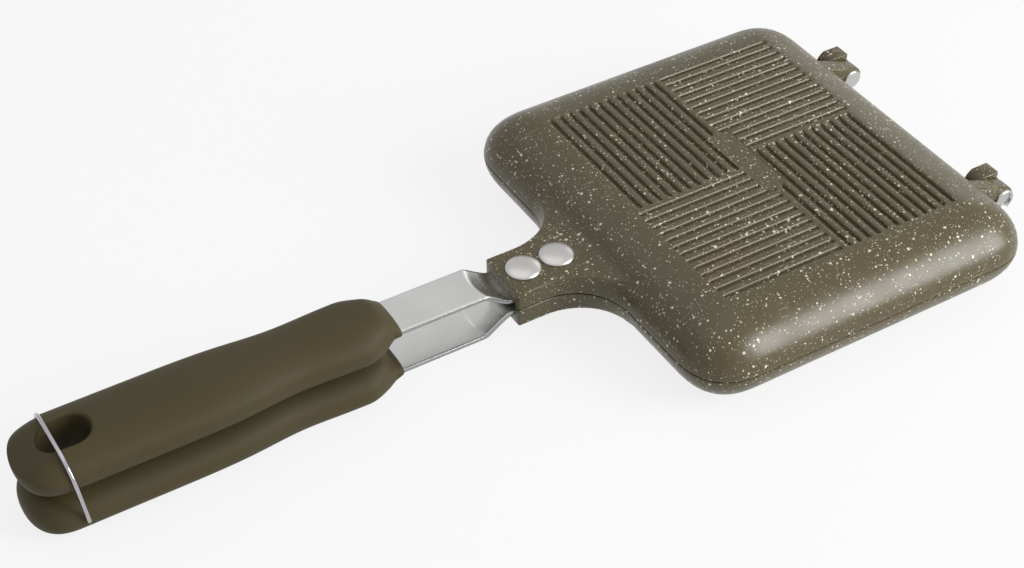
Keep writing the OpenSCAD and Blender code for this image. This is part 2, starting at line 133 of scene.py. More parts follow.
def setFloor():
    bm = bmesh.new()
    bmesh.ops.create_grid(bm, x_segments=1, y_segments=1, size=studio["floorSize"] / 2)
    mesh = bpy.data.meshes.new("studioFloor")
    bm.to_mesh(mesh)
    bm.free()
    material = bpy.data.materials.new("floorPaper")
    material.use_nodes = True
    tree = material.node_tree
    tree.nodes.clear()
    paper = tree.nodes.new("ShaderNodeBsdfDiffuse")
    paper.inputs["Color"].default_value = (studio["floorGrey"],) * 3 + (1,)
    glow = tree.nodes.new("ShaderNodeEmission")
    rays = tree.nodes.new("ShaderNodeLightPath")
    seen = tree.nodes.new("ShaderNodeMath")
    seen.operation = "MAXIMUM"
    tree.links.new(rays.outputs["Is Camera Ray"], seen.inputs[0])
    tree.links.new(rays.outputs["Is Glossy Ray"], seen.inputs[1])
    share = tree.nodes.new("ShaderNodeMath")
    share.operation = "MULTIPLY"
    share.inputs[1].default_value = studio["floorWhite"]
    tree.links.new(seen.outputs[0], share.inputs[0])
    mix = tree.nodes.new("ShaderNodeMixShader")
    tree.links.new(share.outputs[0], mix.inputs["Fac"])
    tree.links.new(paper.outputs[0], mix.inputs[1])
    tree.links.new(glow.outputs[0], mix.inputs[2])
    out = tree.nodes.new("ShaderNodeOutputMaterial")
    tree.links.new(mix.outputs[0], out.inputs["Surface"])
    mesh.materials.append(material)
    floor = bpy.data.objects.new("studioFloor", mesh)
    floor.location.z = -studio["floorDrop"]
    bpy.context.scene.collection.objects.link(floor)
    floor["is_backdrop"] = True


class Finish:
    # a material being wired: add() makes a node, and its values are numbers or other nodes' sockets,
    # by the input's name or, as i0 and i1, by its number
    def __init__(self, name):
        self.material = bpy.data.materials.new(name)
        self.material.use_nodes = True
        self.tree = self.material.node_tree
        self.shader = self.tree.nodes["Principled BSDF"]
        self.place = self.add("TexCoord").outputs["Object"]

    def add(self, kind, settings=None, **values):
        node = self.tree.nodes.new("ShaderNode" + kind)
        for key, value in (settings or {}).items():
            setattr(node, key, value)
        for key, value in values.items():
            self.put(node, key.replace("_", " "), value)
        return node

    def put(self, node, key, value):
        socket = node.inputs[int(key[1:])] if key[0] == "i" and key[1:].isdigit() else node.inputs[key]
        if isinstance(value, bpy.types.NodeSocket):
            self.tree.links.new(value, socket)
        else:
            socket.default_value = value

    def math(self, operation, a, b=0.0, clamp=False):
        return self.add("Math", {"operation": operation, "use_clamp": clamp}, i0=a, i1=b).outputs[0]

    def noise(self, scale, detail=3.0, rough=0.5, place=None):
        return self.add("TexNoise", Vector=place or self.place, Scale=scale, Detail=detail, Roughness=rough)

    def ramp(self, value, low, high, toLow=0.0, toHigh=1.0):
        return self.add("MapRange", {"interpolation_type": "SMOOTHSTEP"}, Value=value,
                        From_Min=low, From_Max=high, To_Min=toLow, To_Max=toHigh).outputs[0]

    def blend(self, share, a, b):
        node = self.add("Mix", {"data_type": "RGBA"})
        for socket, value in ((node.inputs[0], share), (node.inputs[6], a), (node.inputs[7], b)):
            if isinstance(value, bpy.types.NodeSocket):
                self.tree.links.new(value, socket)
            else:
                socket.default_value = value if isinstance(value, float) else (*value, 1)
        return node.outputs[2]

    def bump(self, height, distance, strength=1.0, normal=None):
        node = self.add("Bump", Height=height, Distance=distance, Strength=strength)
        if normal:
            self.put(node, "Normal", normal)
        return node.outputs[0]


coat = {
    "olive": (0.079, 0.062, 0.024), "green": (0.076, 0.063, 0.024), "rust": (0.082, 0.061, 0.026),
    "speck": (0.66, 0.61, 0.47), "roughness": (0.28, 0.38), "specular": 0.5,
    "greenPatches": 26.0, "rustPatches": 41.0, "cloudyGloss": 60.0,  # patterns, in features per metre
    "specks": ((430.0, 0.52, 0.29), (800.0, 0.42, 0.31), (1500.0, 0.42, 0.34)),  # per metre, bare, reach
    "crowds": 95.0, "crowding": (0.82, 1.12), "crisp": 14.0, "finest": 0.7,
    "ragged": 1300.0, "raggedBy": 0.0009, "speckHeight": 0.00004, "grain": 2600.0, "grainHeight": 0.00003,
}


def speckledCoat():
    look = Finish("speckledCoat")
    green = look.ramp(look.noise(coat["greenPatches"], 4.0, 0.6).outputs[0], 0.38, 0.62)
    tone = look.blend(green, coat["olive"], coat["green"])
    rust = look.ramp(look.noise(coat["rustPatches"], 3.0).outputs[0], 0.52, 0.7)
    tone = look.blend(rust, tone, coat["rust"])
    jitter = look.noise(coat["ragged"], 2.0).outputs[1]
    wobble = look.add("VectorMath", {"operation": "SCALE"}, i0=jitter, Scale=coat["raggedBy"]).outputs[0]
    warped = look.add("VectorMath", {"operation": "ADD"}, i0=look.place, i1=wobble).outputs[0]
    crowd = look.ramp(look.noise(coat["crowds"], 2.0).outputs[0], 0.35, 0.68, *coat["crowding"])
    masks = []
    for scale, bare, reach in coat["specks"]:
        cells = look.add("TexVoronoi", Vector=warped, Scale=scale)
        draw = look.add("SeparateColor", Color=cells.outputs["Color"]).outputs[0]
        size = look.math("MULTIPLY", look.math("MULTIPLY", look.ramp(draw, bare, 1.0), reach), crowd)
        inside = look.math("SUBTRACT", size, cells.outputs["Distance"])
        masks.append(look.math("MULTIPLY", inside, coat["crisp"], clamp=True))
    finest = look.math("MULTIPLY", masks[2], coat["finest"])
    specks = look.math("MAXIMUM", look.math("MAXIMUM", masks[0], masks[1]), finest)
    look.put(look.shader, "Base Color", look.blend(specks, tone, coat["speck"]))
    gloss = look.noise(coat["cloudyGloss"], 4.0).outputs[0]
    look.put(look.shader, "Roughness", look.ramp(gloss, 0.3, 0.7, *coat["roughness"]))
    look.put(look.shader, "Specular IOR Level", coat["specular"])
    grain = look.bump(look.noise(coat["grain"], 2.0).outputs[0], coat["grainHeight"], 0.5)
    look.put(look.shader, "Normal", look.bump(specks, coat["speckHeight"], 0.5, grain))
    return look.material


rubber = {
    "olive": (0.055, 0.044, 0.016), "dusty": (0.061, 0.048, 0.020), "roughness": (0.6, 0.64),
    "specular": 0.28, "clouds": 18.0, "scuffs": 220.0, "grain": 3200.0, "grainHeight": 0.00003,
}


def gripRubber():
    look = Finish("gripRubber")
    cloud = look.noise(rubber["clouds"], 5.0, 0.6).outputs[0]
    tone = look.blend(look.ramp(cloud, 0.35, 0.65), rubber["olive"], rubber["dusty"])
    look.put(look.shader, "Base Color", tone)
    scuffs = look.noise(rubber["scuffs"], 3.0).outputs[0]
    look.put(look.shader, "Roughness", look.ramp(scuffs, 0.3, 0.7, *rubber["roughness"]))
    look.put(look.shader, "Specular IOR Level", rubber["specular"])
    grain = look.noise(rubber["grain"], 2.0).outputs[0]
    look.put(look.shader, "Normal", look.bump(grain, rubber["grainHeight"], 0.6))
    return look.material


# roughness and how far it varies, rolling streaks per metre along x, y and z, and their height; the strap
# has painted shade on its side edges, past that distance from its middle
metals = {
    "strapSteel": {"tint": (0.65, 0.65, 0.64), "roughness": 0.27, "spread": 0.012, "streaks": (30, 300, 300),
                   "height": 0.000001, "paintedEdgeShade": 0.0088},
    "rivetMetal": {"tint": (0.56, 0.55, 0.53), "roughness": 0.33, "spread": 0.03, "streaks": (300, 300, 300),
                   "height": 0.000002},
    "pinSteel": {"tint": (0.54, 0.54, 0.53), "roughness": 0.24, "spread": 0.02, "streaks": (500, 500, 500),
                 "height": 0.000002},
    "bailWire": {"tint": (0.46, 0.45, 0.48), "roughness": 0.16, "spread": 0.03, "streaks": (900, 200, 900),
                 "height": 0.000002},
}
# cloud darkening, and the painted shade on the strap's edges: how dark it is and how wide its fade
metalShades = {"clouds": 70.0, "cloudy": 0.93, "paintedEdgeShade": 0.5, "paintedEdgeShadeFade": 0.0002}


def metal(name):
    # bare metal with rolling streaks and a little cloudiness, and painted shade on the strap's side edges
    look, given = Finish(name), metals[name]
    tint, roughness, spread = given["tint"], given["roughness"], given["spread"]
    stretched = look.add("Mapping", Vector=look.place, Scale=given["streaks"])
    lines = look.noise(1.0, 2.0, 0.5, stretched.outputs[0]).outputs[0]
    cloud = look.noise(metalShades["clouds"], 3.0).outputs[0]
    cloudy = tuple(c * metalShades["cloudy"] for c in tint)
    colour = look.blend(look.ramp(cloud, 0.3, 0.75), tint, cloudy)
    # painted shade: past this distance from the middle in y, the strap's colour is darkened on its side edges
    # and in a thin line along them
    if "paintedEdgeShade" in given:
        side = look.math("ABSOLUTE", look.add("SeparateXYZ", Vector=look.place).outputs[1])
        cut = look.ramp(side, given["paintedEdgeShade"] - metalShades["paintedEdgeShadeFade"], given["paintedEdgeShade"])
        colour = look.blend(cut, colour, tuple(c * metalShades["paintedEdgeShade"] for c in tint))
    look.put(look.shader, "Base Color", colour)
    look.put(look.shader, "Metallic", 1.0)
    mixed = look.math("ADD", look.math("MULTIPLY", lines, 0.6), look.math("MULTIPLY", cloud, 0.4))
    look.put(look.shader, "Roughness", look.ramp(mixed, 0.3, 0.7, roughness - spread, roughness + spread))
    look.put(look.shader, "Normal", look.bump(lines, given["height"], 0.3))
    return look.material


def boundaryOf(out):
    # the open edges among what an extrude gave back
    return [g for g in out if isinstance(g, bmesh.types.BMEdge) and g.is_boundary]


def grow(bm, ring, source):
    # extrude an open ring; each new point keeps the source of the one it came from
    out = bmesh.ops.extrude_edge_only(bm, edges=ring)["geom"]
    fresh = {g for g in out if isinstance(g, bmesh.types.BMVert)}
    born = {}
    for v in fresh:
        old = next(e.other_vert(v) for e in v.link_edges if e.other_vert(v) not in fresh)
        born[v] = source[old]
    return boundaryOf(out), born


def skin(bm, loops):
    # one closed skin through loops that all have the same number of points
    start = bmesh.ops.create_circle(bm, segments=len(loops[0]), radius=1)["verts"]
    source = {v: i for i, v in enumerate(start)}
    for v, i in source.items():
        v.co = loops[0][i]
    first = ring = list({e for v in start for e in v.link_edges})
    for loop in loops[1:]:
        ring, source = grow(bm, ring, source)
        for v, i in source.items():
            v.co = loop[i]
    bmesh.ops.holes_fill(bm, edges=first, sides=0)
    bmesh.ops.holes_fill(bm, edges=ring, sides=0)


def turned(bm, profile, steps, centre, axis=(0, 0, 1)):
    # spins a profile of (radius, height) about the axis, z or y, through centre
    along = Vector(axis)
    out = Vector((1, 0, 0))
    verts = [bm.verts.new(Vector(centre) + out * r + along * h) for r, h in profile]
    edges = [bm.edges.new(pair) for pair in zip(verts, verts[1:])]
    bmesh.ops.spin(bm, geom=verts + edges, cent=centre, axis=axis, angle=math.tau, steps=steps,
                   use_merge=True)
    bmesh.ops.remove_doubles(bm, verts=bm.verts, dist=weldGap)


def slab(bm, outline, left, right, edgeRadius):
    # a side outline of (x, z) drawn from left to right across the iron, its edges rounded
    verts = [bm.verts.new((x, left, z)) for x, z in outline]
    face = bm.faces.new(verts)
    out = bmesh.ops.extrude_face_region(bm, geom=[face])["geom"]
    moved = [g for g in out if isinstance(g, bmesh.types.BMVert)]
    bmesh.ops.translate(bm, vec=(0, right - left, 0), verts=moved)
    edges = {e for v in verts + moved for e in v.link_edges}
    limit = math.radians(hinge["sharp"])
    sharp = [e for e in edges if len(e.link_faces) == 2 and e.calc_face_angle(0) > limit]
    bmesh.ops.bevel(bm, geom=sharp, offset=edgeRadius, affect="EDGES", segments=3, profile=0.5, material=-1)


def arc(centre, radius, start, end, steps):
    turns = [math.radians(start + (end - start) * i / steps) for i in range(steps + 1)]
    return [(centre[0] + radius * math.cos(a), centre[1] + radius * math.sin(a)) for a in turns]


def smooth(share):
    share = max(0, min(1, share))
    return share * share * (3 - 2 * share)


def looseObject(name, bm):
    mesh = bpy.data.meshes.new(name)
    bmesh.ops.recalc_face_normals(bm, faces=bm.faces)
    bm.to_mesh(mesh)
    bm.free()
    made = bpy.data.objects.new(name, mesh)
    bpy.context.scene.collection.objects.link(made)
    return made


def carved(bm, cutter):
    # the mesh less its cutter, as a new bmesh
    blank, tool = looseObject("blank", bm), looseObject("cutter", cutter)
    cut = blank.modifiers.new("cut", "BOOLEAN")
    cut.operation, cut.solver, cut.object = "DIFFERENCE", "EXACT", tool
    result = blank.evaluated_get(bpy.context.evaluated_depsgraph_get()).to_mesh()
    out = bmesh.new()
    out.from_mesh(result)
    for thing in (blank, tool):
        bpy.data.objects.remove(thing)
    return out


def finishPiece(name, bm, material, body, nodes, lower=False, crease=35):
    # makes a drawing in mm the piece that stands for its nodes, turned over for the lower half
    if lower:
        bmesh.ops.scale(bm, vec=(1, 1, -1), verts=bm.verts)
    bmesh.ops.recalc_face_normals(bm, faces=bm.faces)
    bmesh.ops.translate(bm, vec=(0, 0, partingZ), verts=bm.verts)
    bmesh.ops.scale(bm, vec=(mm, mm, mm), verts=bm.verts)
    mesh = bpy.data.meshes.new(name)
    bm.to_mesh(mesh)
    bm.free()
    mesh.materials.append(material)
    mesh.polygons.foreach_set("use_smooth", [True] * len(mesh.polygons))
    mesh.set_sharp_from_angle(angle=math.radians(crease))
    piece = bpy.data.objects.new(name, mesh)
    bpy.context.scene.collection.objects.link(piece)
    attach(piece, body)
    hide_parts(*nodes)


pan = {
    "halfLength": 75, "halfWidth": 84, "height": 17.7, "flank": 24, "cornerPower": 2.63, "flankRings": 15,
    "fieldX": 55.5, "fieldY": 63,  # half of the grid on top, whose border slides out to the flank
    "cornerX": 18.5, "cornerY": 19, "cornerSteps": 24, "slideRings": 6,
    "rimZ": 0.2, "rimTop": 0.7, "rimRound": ((0.1, 0.35), (0.35, 0.2)),
    "land": 6, "trayFlank": 20, "trayDepth": 14.7, "trayPower": 3.28, "trayRings": 8, "trayTurn": (8, 86),
    "trayEdge": (0.985, 0.6), "trayFloor": (0.05, 0.025),
}
ribs = {
    "pitch": 4.4, "floor": 16.45, "reachX": 53.5, "reachY": 60.5, "margin": 2,
    "step": 3.5, "firstRow": 6.58, "rowEnd": 0.9, "columns": 12, "rows": 13, "endRadius": 0.9,
    "plateX": 5, "plateY": 19.5, "plateCut": 2.5, "plateSunk": 0.4, "plateLip": 0.1, "plateEase": 0.5,
    "section": ((0, 1), (0.72, 1), (1.04, 0.2), (1.28, 0.04), (1.7, 0)),  # distance from its middle, depth
    "stopEase": 0.35, "closest": 0.14,
}


def overFlank(x, y, halfX, halfY, flank):
    # how far out a point lies over the flank: 0 on the flat top, 1 on the rim, for each direction
    return max(0, abs(x) - halfX + flank) / flank, max(0, abs(y) - halfY + flank) / flank


def domeZ(x, y):
    u, v = overFlank(x, y, pan["halfLength"], pan["halfWidth"], pan["flank"])
    share = min(1, (u ** pan["cornerPower"] + v ** pan["cornerPower"]) ** (1 / pan["cornerPower"]))
    return pan["height"] * math.sqrt(1 - share * share)


def grooveShare(x, y):
    # depth of the nearest groove at a point, 0 to 1; the pinwheel repeats after half a turn
    best, r = math.inf, ribs["endRadius"]
    for px, py in ((x, y), (-x, -y)):
        column = min(max(round(-px / ribs["pitch"] - 0.5), 0), ribs["columns"] - 1)
        across = px + ribs["pitch"] * (column + 0.5)
        along = max(0, -ribs["step"] + r - py, py - ribs["reachY"] + r)
        best = min(best, math.hypot(across, along))
        row = min(max(round((-ribs["firstRow"] - py) / ribs["pitch"]), 0), ribs["rows"] - 1)
        across = py + ribs["firstRow"] + ribs["pitch"] * row
        along = max(0, -ribs["reachX"] + r - px, px + ribs["rowEnd"] + r)
        best = min(best, math.hypot(across, along))
    for (d0, s0), (d1, s1) in zip(ribs["section"], ribs["section"][1:]):
        if best <= d1:
            return s0 + (s1 - s0) * (best - d0) / (d1 - d0)
    return 0


def plateShare(x, y):
    # 0 on the bare plate in the middle, 1 beside it
    dx, dy = abs(x) - ribs["plateX"], abs(y) - ribs["plateY"]
    corner = (dx + dy + ribs["plateCut"]) / math.sqrt(2)
    return min(1, max(0, (max(dx, dy, corner) + ribs["plateLip"]) / ribs["plateEase"]))


def ribbedZ(x, y):
    z = domeZ(x, y)
    if abs(x) > ribs["reachX"] + ribs["margin"] or abs(y) > ribs["reachY"] + ribs["margin"]:
        return z
    beside = plateShare(x, y)
    return z + grooveShare(x, y) * beside * (min(ribs["floor"], z) - z) - ribs["plateSunk"] * (1 - beside)


def gridLines(first, count, reach, stops):
    # grid lines that follow the grooves' section, mirrored about the middle
    lines = {0.0, reach}
    for i in range(count):
        centre = first + ribs["pitch"] * i
        lines |= {centre + side * bend[0] for side in (-1, 1) for bend in ribs["section"][1:]}
    for stop in stops:
        lines |= {stop - ribs["stopEase"], stop, stop + ribs["stopEase"]}
    kept = []
    for line in sorted(lines):
        if 0 <= line <= reach and (not kept or line - kept[-1] > ribs["closest"]):
            kept.append(line)
    return [-line for line in kept[:0:-1]] + kept


def rimPoint(x, y):
    # where a point on the field's border ends up on the rim
    p, flank = pan["cornerPower"], pan["flank"]
    flatX, flatY = pan["halfLength"] - flank, pan["halfWidth"] - flank
    turns = [math.radians(45 * i / pan["cornerSteps"]) for i in range(pan["cornerSteps"] + 1)]
    corner = [(flank * math.cos(a) ** (2 / p), flank * math.sin(a) ** (2 / p)) for a in turns]
    onEnd = abs(x) > pan["fieldX"] - 0.01
    if onEnd:
        place, start, field = abs(y), pan["fieldY"] - pan["cornerY"], pan["fieldY"]
        walk = [(pan["halfLength"], start)] + [(flatX + a, flatY + b) for a, b in corner]
    else:
        place, start, field = abs(x), pan["fieldX"] - pan["cornerX"], pan["fieldX"]
        walk = [(start, pan["halfWidth"])] + [(flatX + b, flatY + a) for a, b in corner]
    if place <= start:
        spot = (pan["halfLength"], place) if onEnd else (place, pan["halfWidth"])
    else:
        steps = [math.dist(a, b) for a, b in zip(walk, walk[1:])]
        left = (place - start) / (field - start) * sum(steps)
        for (a, b), step in zip(zip(walk, walk[1:]), steps):
            if left <= step or b is walk[-1]:
                share = min(1, left / step)
                spot = (a[0] + (b[0] - a[0]) * share, a[1] + (b[1] - a[1]) * share)
                break
            left -= step
    return math.copysign(spot[0], x), math.copysign(spot[1], y)


def onFlank(rim, share, halfX, halfY, flank, power):
    # the point at this share of the flank, 0 inside and 1 on the outline, in line with a rim point
    u, v = overFlank(*rim, pan["halfLength"], pan["halfWidth"], pan["flank"])
    k = (u ** power + v ** power) ** (-1 / power)
    panFlatX, panFlatY = pan["halfLength"] - pan["flank"], pan["halfWidth"] - pan["flank"]
    x = min(abs(rim[0]), panFlatX) * (halfX - flank) / panFlatX + flank * u * k * share
    y = min(abs(rim[1]), panFlatY) * (halfY - flank) / panFlatY + flank * v * k * share
    return math.copysign(x, rim[0]), math.copysign(y, rim[1])


def domeShell():
    # one half of the iron, from its ribbed top over the flank, the rim and the land to the tray's floor
    bm = bmesh.new()
    stopsX = (ribs["rowEnd"], ribs["plateX"], ribs["reachX"])
    stopsY = (ribs["step"], ribs["plateY"], ribs["reachY"])
    xs = gridLines(ribs["pitch"] / 2, ribs["columns"], pan["fieldX"], stopsX)
    ys = gridLines(ribs["firstRow"], ribs["rows"], pan["fieldY"], stopsY)
    bmesh.ops.create_grid(bm, x_segments=len(xs) - 1, y_segments=len(ys) - 1, size=1)
    for v in bm.verts:
        x = xs[round((v.co.x + 1) / 2 * (len(xs) - 1))]
        y = ys[round((v.co.y + 1) / 2 * (len(ys) - 1))]
        v.co = (x, y, ribbedZ(x, y))
    ring = [e for e in bm.edges if e.is_boundary]
    source = {v: ((v.co.x, v.co.y), rimPoint(v.co.x, v.co.y)) for e in ring for v in e.verts}
    outer = (pan["halfLength"], pan["halfWidth"], pan["flank"], pan["cornerPower"])
    for i in range(1, pan["flankRings"] + 1):
        ring, source = grow(bm, ring, source)
        slide = smooth(i / pan["slideRings"])
        for v, (start, rim) in source.items():
            first = math.asin(min(1, math.hypot(*overFlank(*start, *outer[:3]))))
            share = math.sin(first + (math.pi / 2 - first) * i / pan["flankRings"])
            x, y = onFlank(rim, share, *outer)
            x, y = start[0] + (x - start[0]) * slide, start[1] + (y - start[1]) * slide
            v.co = (x, y, max(domeZ(x, y), pan["rimTop"]))
    for inset, z in pan["rimRound"]:
        ring, source = grow(bm, ring, source)
        for v, (start, rim) in source.items():
            v.co = (*onFlank(rim, 1 - inset / pan["flank"], *outer), z)
    land = pan["land"]
    inner = (pan["halfLength"] - land, pan["halfWidth"] - land, pan["trayFlank"], pan["trayPower"])
    low, high = pan["trayTurn"]
    turns = [math.radians(low + (high - low) * i / pan["trayRings"]) for i in range(pan["trayRings"] + 1)]
    drops = [(1, pan["rimZ"]), pan["trayEdge"]]
    drops += [(math.cos(t), pan["trayDepth"] * math.sin(t)) for t in turns]
    drops += [(share, pan["trayDepth"]) for share in pan["trayFloor"]]
    for share, z in drops:
        ring, source = grow(bm, ring, source)
        for v, (start, rim) in source.items():
            v.co = (*onFlank(rim, share, *inner), z)
    bmesh.ops.holes_fill(bm, edges=ring, sides=0)
    return bm


neck = {
    "end": -108.3, "halfWidth": 11.75, "top": 7.7, "fillet": 22, "blend": 38.5, "edge": 0.8, "foot": 0.35,
    "slotHalf": 9.15, "slotTop": 3.55, "slotEnd": -80, "inside": -69.1,
    "endRound": ((0, 0.5), (0.15, 0.15), (0.5, 0)),  # distance from the end, and how much slimmer it is there
    "plainStretch": (-104, -100, -97.2), "rivetedFrom": -96, "rivetedStep": 1.5, "rivetedSteps": 10,
    "beforeSlotEnd": (1.2, 0.01), "widening": 8, "climbing": 14,
}


def flankInsetAt(z):
    return pan["flank"] * (1 - math.sqrt(1 - min(1, z / pan["height"]) ** 2))


def neckShell(bm):
    # the tang with the strap's slot under it, its top curving up into the flank and its sides flaring
    t = math.radians(neck["blend"])
    foot = (pan["flank"] * (1 - math.cos(t)) - pan["halfLength"], pan["height"] * math.sin(t))
    out = Vector((-math.cos(t) / pan["flank"], math.sin(t) / pan["height"])).normalized()
    radius = (foot[1] - neck["top"]) / (1 - out.y)
    centreX = foot[0] + radius * out.x
    panEnd = -pan["halfLength"]

    def topAt(x):
        if x <= centreX:
            return neck["top"]
        if x <= foot[0]:
            return neck["top"] + radius - math.sqrt(max(0, radius ** 2 - (x - centreX) ** 2))
        return foot[1] - 0.3  # just inside the flank

    def section(x, shrink):
        top = topAt(x) - shrink
        floor = pan["rimZ"] + shrink if x < panEnd - 0.05 else pan["rimTop"]
        bend, lip, slot = neck["fillet"], neck["foot"], neck["slotHalf"]

        def wall(z):
            if x <= panEnd - bend:
                return neck["halfWidth"] - shrink
            run = (x - panEnd + bend) / (bend + flankInsetAt(z))
            return neck["halfWidth"] + bend * (1 - math.sqrt(max(0, 1 - run * run))) - shrink
        ceiling = neck["slotTop"] if x < neck["slotEnd"] else floor
        straight = top - neck["edge"]
        half = [(0, ceiling), (slot, ceiling), (slot, floor), (wall(floor) - lip, floor)]
        half += [(wall(z), z) for z in (floor + lip + (straight - floor - lip) * i / 6 for i in range(7))]
        w = wall(top)
        half += [(w - neck["edge"] + a, straight + b) for a, b in arc((0, 0), neck["edge"], 15, 90, 5)]
        half += [(w * share, top) for share in (0.66, 0.33, 0)]
        return [Vector((x, y, z)) for y, z in half] + [Vector((x, -y, z)) for y, z in half[-2:0:-1]]

    stations = [(neck["end"] + along, shrink) for along, shrink in neck["endRound"]]
    riveted = [neck["rivetedFrom"] + neck["rivetedStep"] * i for i in range(neck["rivetedSteps"])]
    beforeEnd = [neck["slotEnd"] - gap for gap in neck["beforeSlotEnd"]]
    full = [*neck["plainStretch"], *riveted, *beforeEnd, neck["slotEnd"]]
    run = panEnd - 0.1 - neck["slotEnd"]
    full += [neck["slotEnd"] + run * i / neck["widening"] for i in range(1, neck["widening"] + 1)]
    full += [panEnd + (foot[0] - panEnd) * i / neck["climbing"] for i in range(neck["climbing"] + 1)]
    stations += [(x, 0) for x in full + [neck["inside"]]]
    skin(bm, [section(x, shrink) for x, shrink in stations])


hinge = {
    "pinX": 84, "middles": {"right": -46.95, "left": 45.75}, "upper": (-7.4, 0.1), "lower": (0.4, 7.4),
    "lug": 5.2, "slope": 20, "backRadius": 8.5, "top": 7.2, "front": 3.1,
    "upperEdge": 1.3, "lowerEdge": 0.45, "sharp": 40,
    "rootX": 67, "rootZ": 9.5, "footX": 69.3, "footZ": 7,  # where a lug ends inside the flank
}


def webLine(x):
    # height of the lugs' sloping top, from the flank to their round end
    slope = math.radians(hinge["slope"])
    touch = (hinge["pinX"] + hinge["lug"] * math.sin(slope), hinge["lug"] * math.cos(slope))
    return touch[1] + (touch[0] - x) * math.tan(slope)


def addLugs(bm, outline, sides, edgeRadius):
    rim, rootX = pan["halfLength"], hinge["rootX"]
    under = [(hinge["footX"], pan["rimTop"]), (rim - 0.1, pan["rimTop"]), (rim + 0.1, pan["rimZ"])]
    inside = [(rootX, webLine(rootX)), (rootX, hinge["rootZ"]), (hinge["footX"], hinge["footZ"])]
    for middle in hinge["middles"].values():
        slab(bm, under + outline + inside, middle + sides[0], middle + sides[1], edgeRadius)


def upperLugs(bm):
    low = math.degrees(math.asin(pan["rimZ"] / hinge["lug"]))
    outline = arc((hinge["pinX"], 0), hinge["lug"], 180 - low, 450 - hinge["slope"], 26)
    addLugs(bm, outline, hinge["upper"], hinge["upperEdge"])


def lowerLugs(bm):
    # drawn while the lower pan still lies the same way up as the upper one, so the tall part points down
    r, top, front = hinge["backRadius"], hinge["top"], hinge["front"]
    low, high = (math.degrees(math.asin(z / r)) for z in (pan["rimZ"], top))
    turn = math.degrees(math.acos(front / hinge["lug"]))
    outline = arc((hinge["pinX"], 0), r, 180 - low, 180 + high, 12) + [(hinge["pinX"] + front, -top)]
    outline += arc((hinge["pinX"], 0), hinge["lug"], -turn, 90 - hinge["slope"], 16)
    addLugs(bm, outline, hinge["lower"], hinge["lowerEdge"])


def makePans(material):
    upper = domeShell()
    lower = upper.copy()
    for bm, lugs in ((upper, upperLugs), (lower, lowerLugs)):
        neckShell(bm)
        lugs(bm)
    finishPiece("upperPan", upper, material, "upper", ["upper_pan"])
    finishPiece("lowerPan", lower, material, "lower", ["lower_pan"], lower=True)


strap = {
    "halfWidth": 9, "thickness": 1.7, "edge": 0.25, "lowZ": 2.55, "highZ": 9.2, "slope": 36, "footX": -110.5,
    "dish": 1.5, "crease": 0.5, "foot": 1.6, "sunk": 0.02, "from": -258, "to": -80.5,
    "behindBend": (-160, -145, -135, -130, -127), "inTang": (-104, -100, -90),
    "bendFrom": -126, "bendStep": 0.4, "bendSteps": 51,
}


def strapZ(x, y):
    # middle of the strip: flat, a dished slope whose crease is a crescent, then flat in the tang
    slope = strap["lowZ"] - (x - strap["footX"]) * math.tan(math.radians(strap["slope"]))
    slope -= strap["dish"] * (1 - (y / strap["halfWidth"]) ** 2)
    gap = slope - strap["highZ"]
    z = strap["highZ"] + (gap - math.sqrt(gap * gap + strap["crease"] ** 2)) / 2
    gap = z - strap["lowZ"]
    return strap["lowZ"] + (gap + math.sqrt(gap * gap + strap["foot"] ** 2)) / 2 - strap["sunk"]


def strapLoop(x):
    w, half, edge, step = strap["halfWidth"], strap["thickness"] / 2, strap["edge"], 0.05

    def at(y, off):
        slopeX = (strapZ(x + step, y) - strapZ(x - step, y)) / (2 * step)
        slopeY = (strapZ(x, y + step) - strapZ(x, y - step)) / (2 * step)
        normal = Vector((-slopeX, -slopeY, 1)).normalized()
        return Vector((x, y, strapZ(x, y))) + normal * off
    across = [w - edge] + [w * (1 - i / 8) for i in range(1, 16)] + [edge - w]
    upper = [at(y, half) for y in across]
    lower = [at(y, -half) for y in reversed(across)]
    rightSide = [at(-w, half - edge), at(-w, edge - half)]
    leftSide = [at(w, edge - half), at(w, half - edge)]
    return upper + rightSide + lower + leftSide


def makeStraps(material):
    bend = [strap["bendFrom"] + strap["bendStep"] * i for i in range(strap["bendSteps"])]
    stations = [strap["from"], *strap["behindBend"], *bend, *strap["inTang"], strap["to"]]
    for name, lower in (("upper", False), ("lower", True)):
        bm = bmesh.new()
        skin(bm, [strapLoop(x) for x in stations])
        finishPiece(name + "Strap", bm, material, name, [name + "_strap"], lower, crease=50)


grip = {
    "front": -154, "length": 140, "midZ": 9.2, "halfHeight": 8.3, "halfWidth": 16.8, "power": 2.3,
    "points": 56, "bulb": 14.9, "waist": 1.6, "waistX": -197, "waistSpread": 16, "swell": 72,
    "tailRound": 15, "tailRoll": 9, "frontRound": 14, "bodySteps": 38,
    "lip": -154.5, "lipRound": 0.8, "collar": -157.8, "noseLength": 13, "noseHeight": 2.9, "noseWidth": 9.7,
    "backRise": 7.5, "insideRise": 6.2, "insideAhead": 1.5,
    "pastCollar": (0.4, 0.9, 1.5, 2), "beforeLip": (0.8, 0.45, 0.2, 0.05, 0),
    "holeX": -275.5, "holeRadius": 7.25, "holeShift": 2.2, "holeFlare": 1.7, "holeMouth": (1.0, 0.45),
    "holePoints": 64,
    "pivotX": -277, "barX": -279.7, "barZ": 17.4, "barGap": 1.1,
    "grooveSteps": (-1.02, -0.98, -0.85, -0.6, -0.3, 0, 0.3, 0.6, 0.85, 0.98, 1.02),
}


